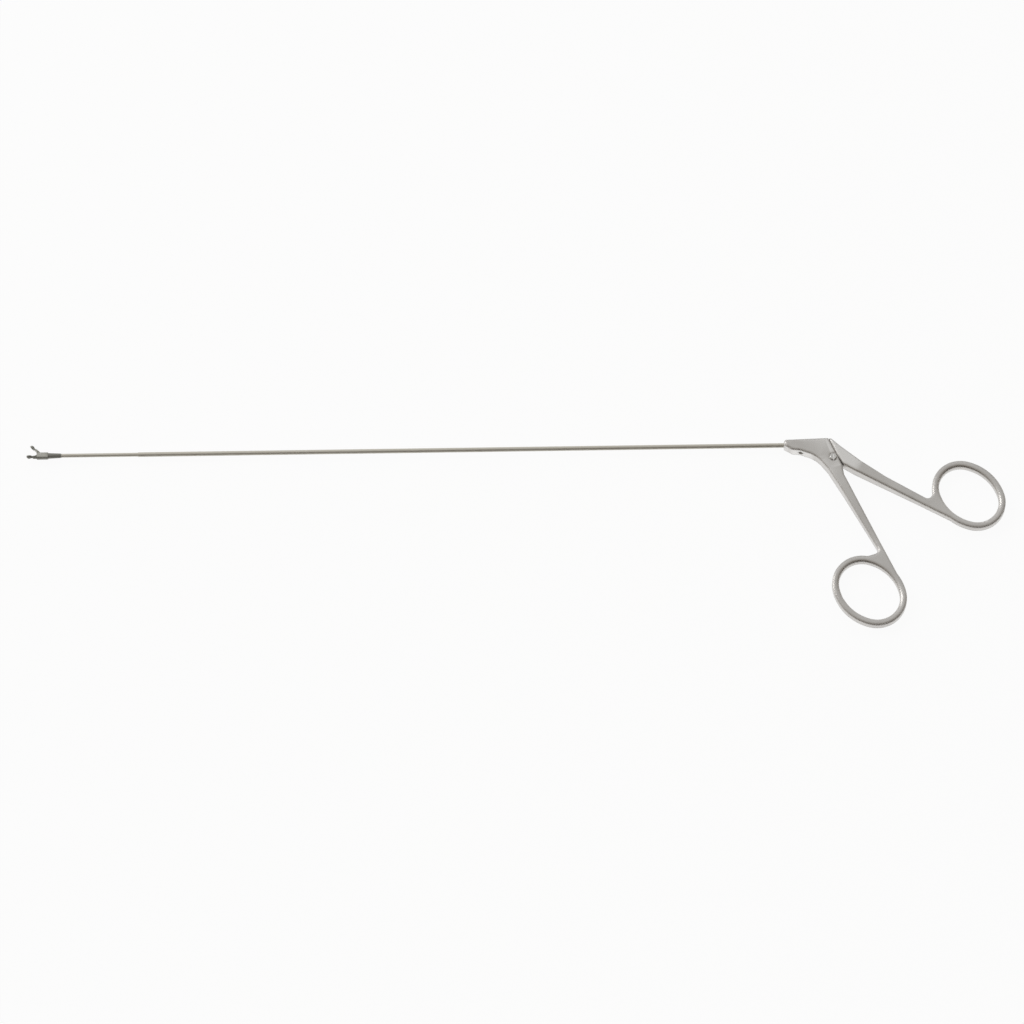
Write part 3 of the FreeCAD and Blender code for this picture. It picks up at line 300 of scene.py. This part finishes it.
def make_floor():
    """A plain white sheet that the instrument lies on and drops a faint shadow on."""
    level = CAD_BOX[0].z
    corners = [(-FLOOR_HALF, -FLOOR_HALF, level), (FLOOR_HALF, -FLOOR_HALF, level),
               (FLOOR_HALF, FLOOR_HALF, level), (-FLOOR_HALF, FLOOR_HALF, level)]
    mesh = bpy.data.meshes.new("floor")
    mesh.from_pydata(corners, [], [(0, 1, 2, 3)])
    floor = bpy.data.objects.new("floor", mesh)
    bpy.context.scene.collection.objects.link(floor)
    material = bpy.data.materials.new("white_paper")
    shading = Shading(material)
    paper = shading.add("ShaderNodeBsdfDiffuse")
    paper.inputs["Color"].default_value = opaque(FLOOR_PAPER)
    glow = shading.add("ShaderNodeEmission")
    glow.inputs["Color"].default_value = opaque(WHITE)
    glow.inputs["Strength"].default_value = 1.0
    share = shading.add("ShaderNodeMath", operation="MULTIPLY")
    shading.join(seen_white(shading), share.inputs[0])
    share.inputs[1].default_value = FLOOR_GLOW
    mix = shading.add("ShaderNodeMixShader")
    shading.join(share.outputs[0], mix.inputs["Fac"])
    shading.join(paper.outputs[0], mix.inputs[1])
    shading.join(glow.outputs[0], mix.inputs[2])
    shading.show("ShaderNodeOutputMaterial", mix.outputs[0])
    mesh.materials.append(material)


def make_world():
    """A studio that is brighter on one side, for all rays alike."""
    world = bpy.data.worlds.new("studio")
    bpy.context.scene.world = world
    shading = Shading(world)
    place = shading.add("ShaderNodeTexCoord")
    facing = shading.add("ShaderNodeVectorMath", operation="DOT_PRODUCT")
    facing.inputs[1].default_value = BRIGHT_SIDE.normalized()
    shading.join(place.outputs["Generated"], facing.inputs[0])
    level = shading.spread(facing.outputs["Value"], -1.0, 1.0, 0.0, 1.0)
    ramp = shading.ramp(level, STUDIO_COLOURS)
    ramp.color_ramp.interpolation = "EASE"
    studio = shading.add("ShaderNodeBackground")
    studio.inputs["Strength"].default_value = 1.0
    shading.join(ramp.outputs["Color"], studio.inputs["Color"])
    shading.show("ShaderNodeOutputWorld", studio.outputs[0])


def make_key_light():
    """A square soft lamp, aimed at the middle of the instrument."""
    data = bpy.data.lights.new("key_light", "AREA")
    data.shape = "SQUARE"
    data.size = KEY_LIGHT_SIDE
    data.energy = KEY_LIGHT_WATTS
    lamp = bpy.data.objects.new("key_light", data)
    bpy.context.scene.collection.objects.link(lamp)
    lamp.location = KEY_LIGHT_PLACE
    aim = (CAD_BOX[0] + CAD_BOX[1]) / 2 - Vector(KEY_LIGHT_PLACE)
    lamp.rotation_mode = "QUATERNION"
    lamp.rotation_quaternion = aim.to_track_quat("-Z", "Y")


dress_pieces()
make_camera()
make_floor()
make_world()
make_key_light()
bpy.context.scene.view_settings.view_transform = "Standard"
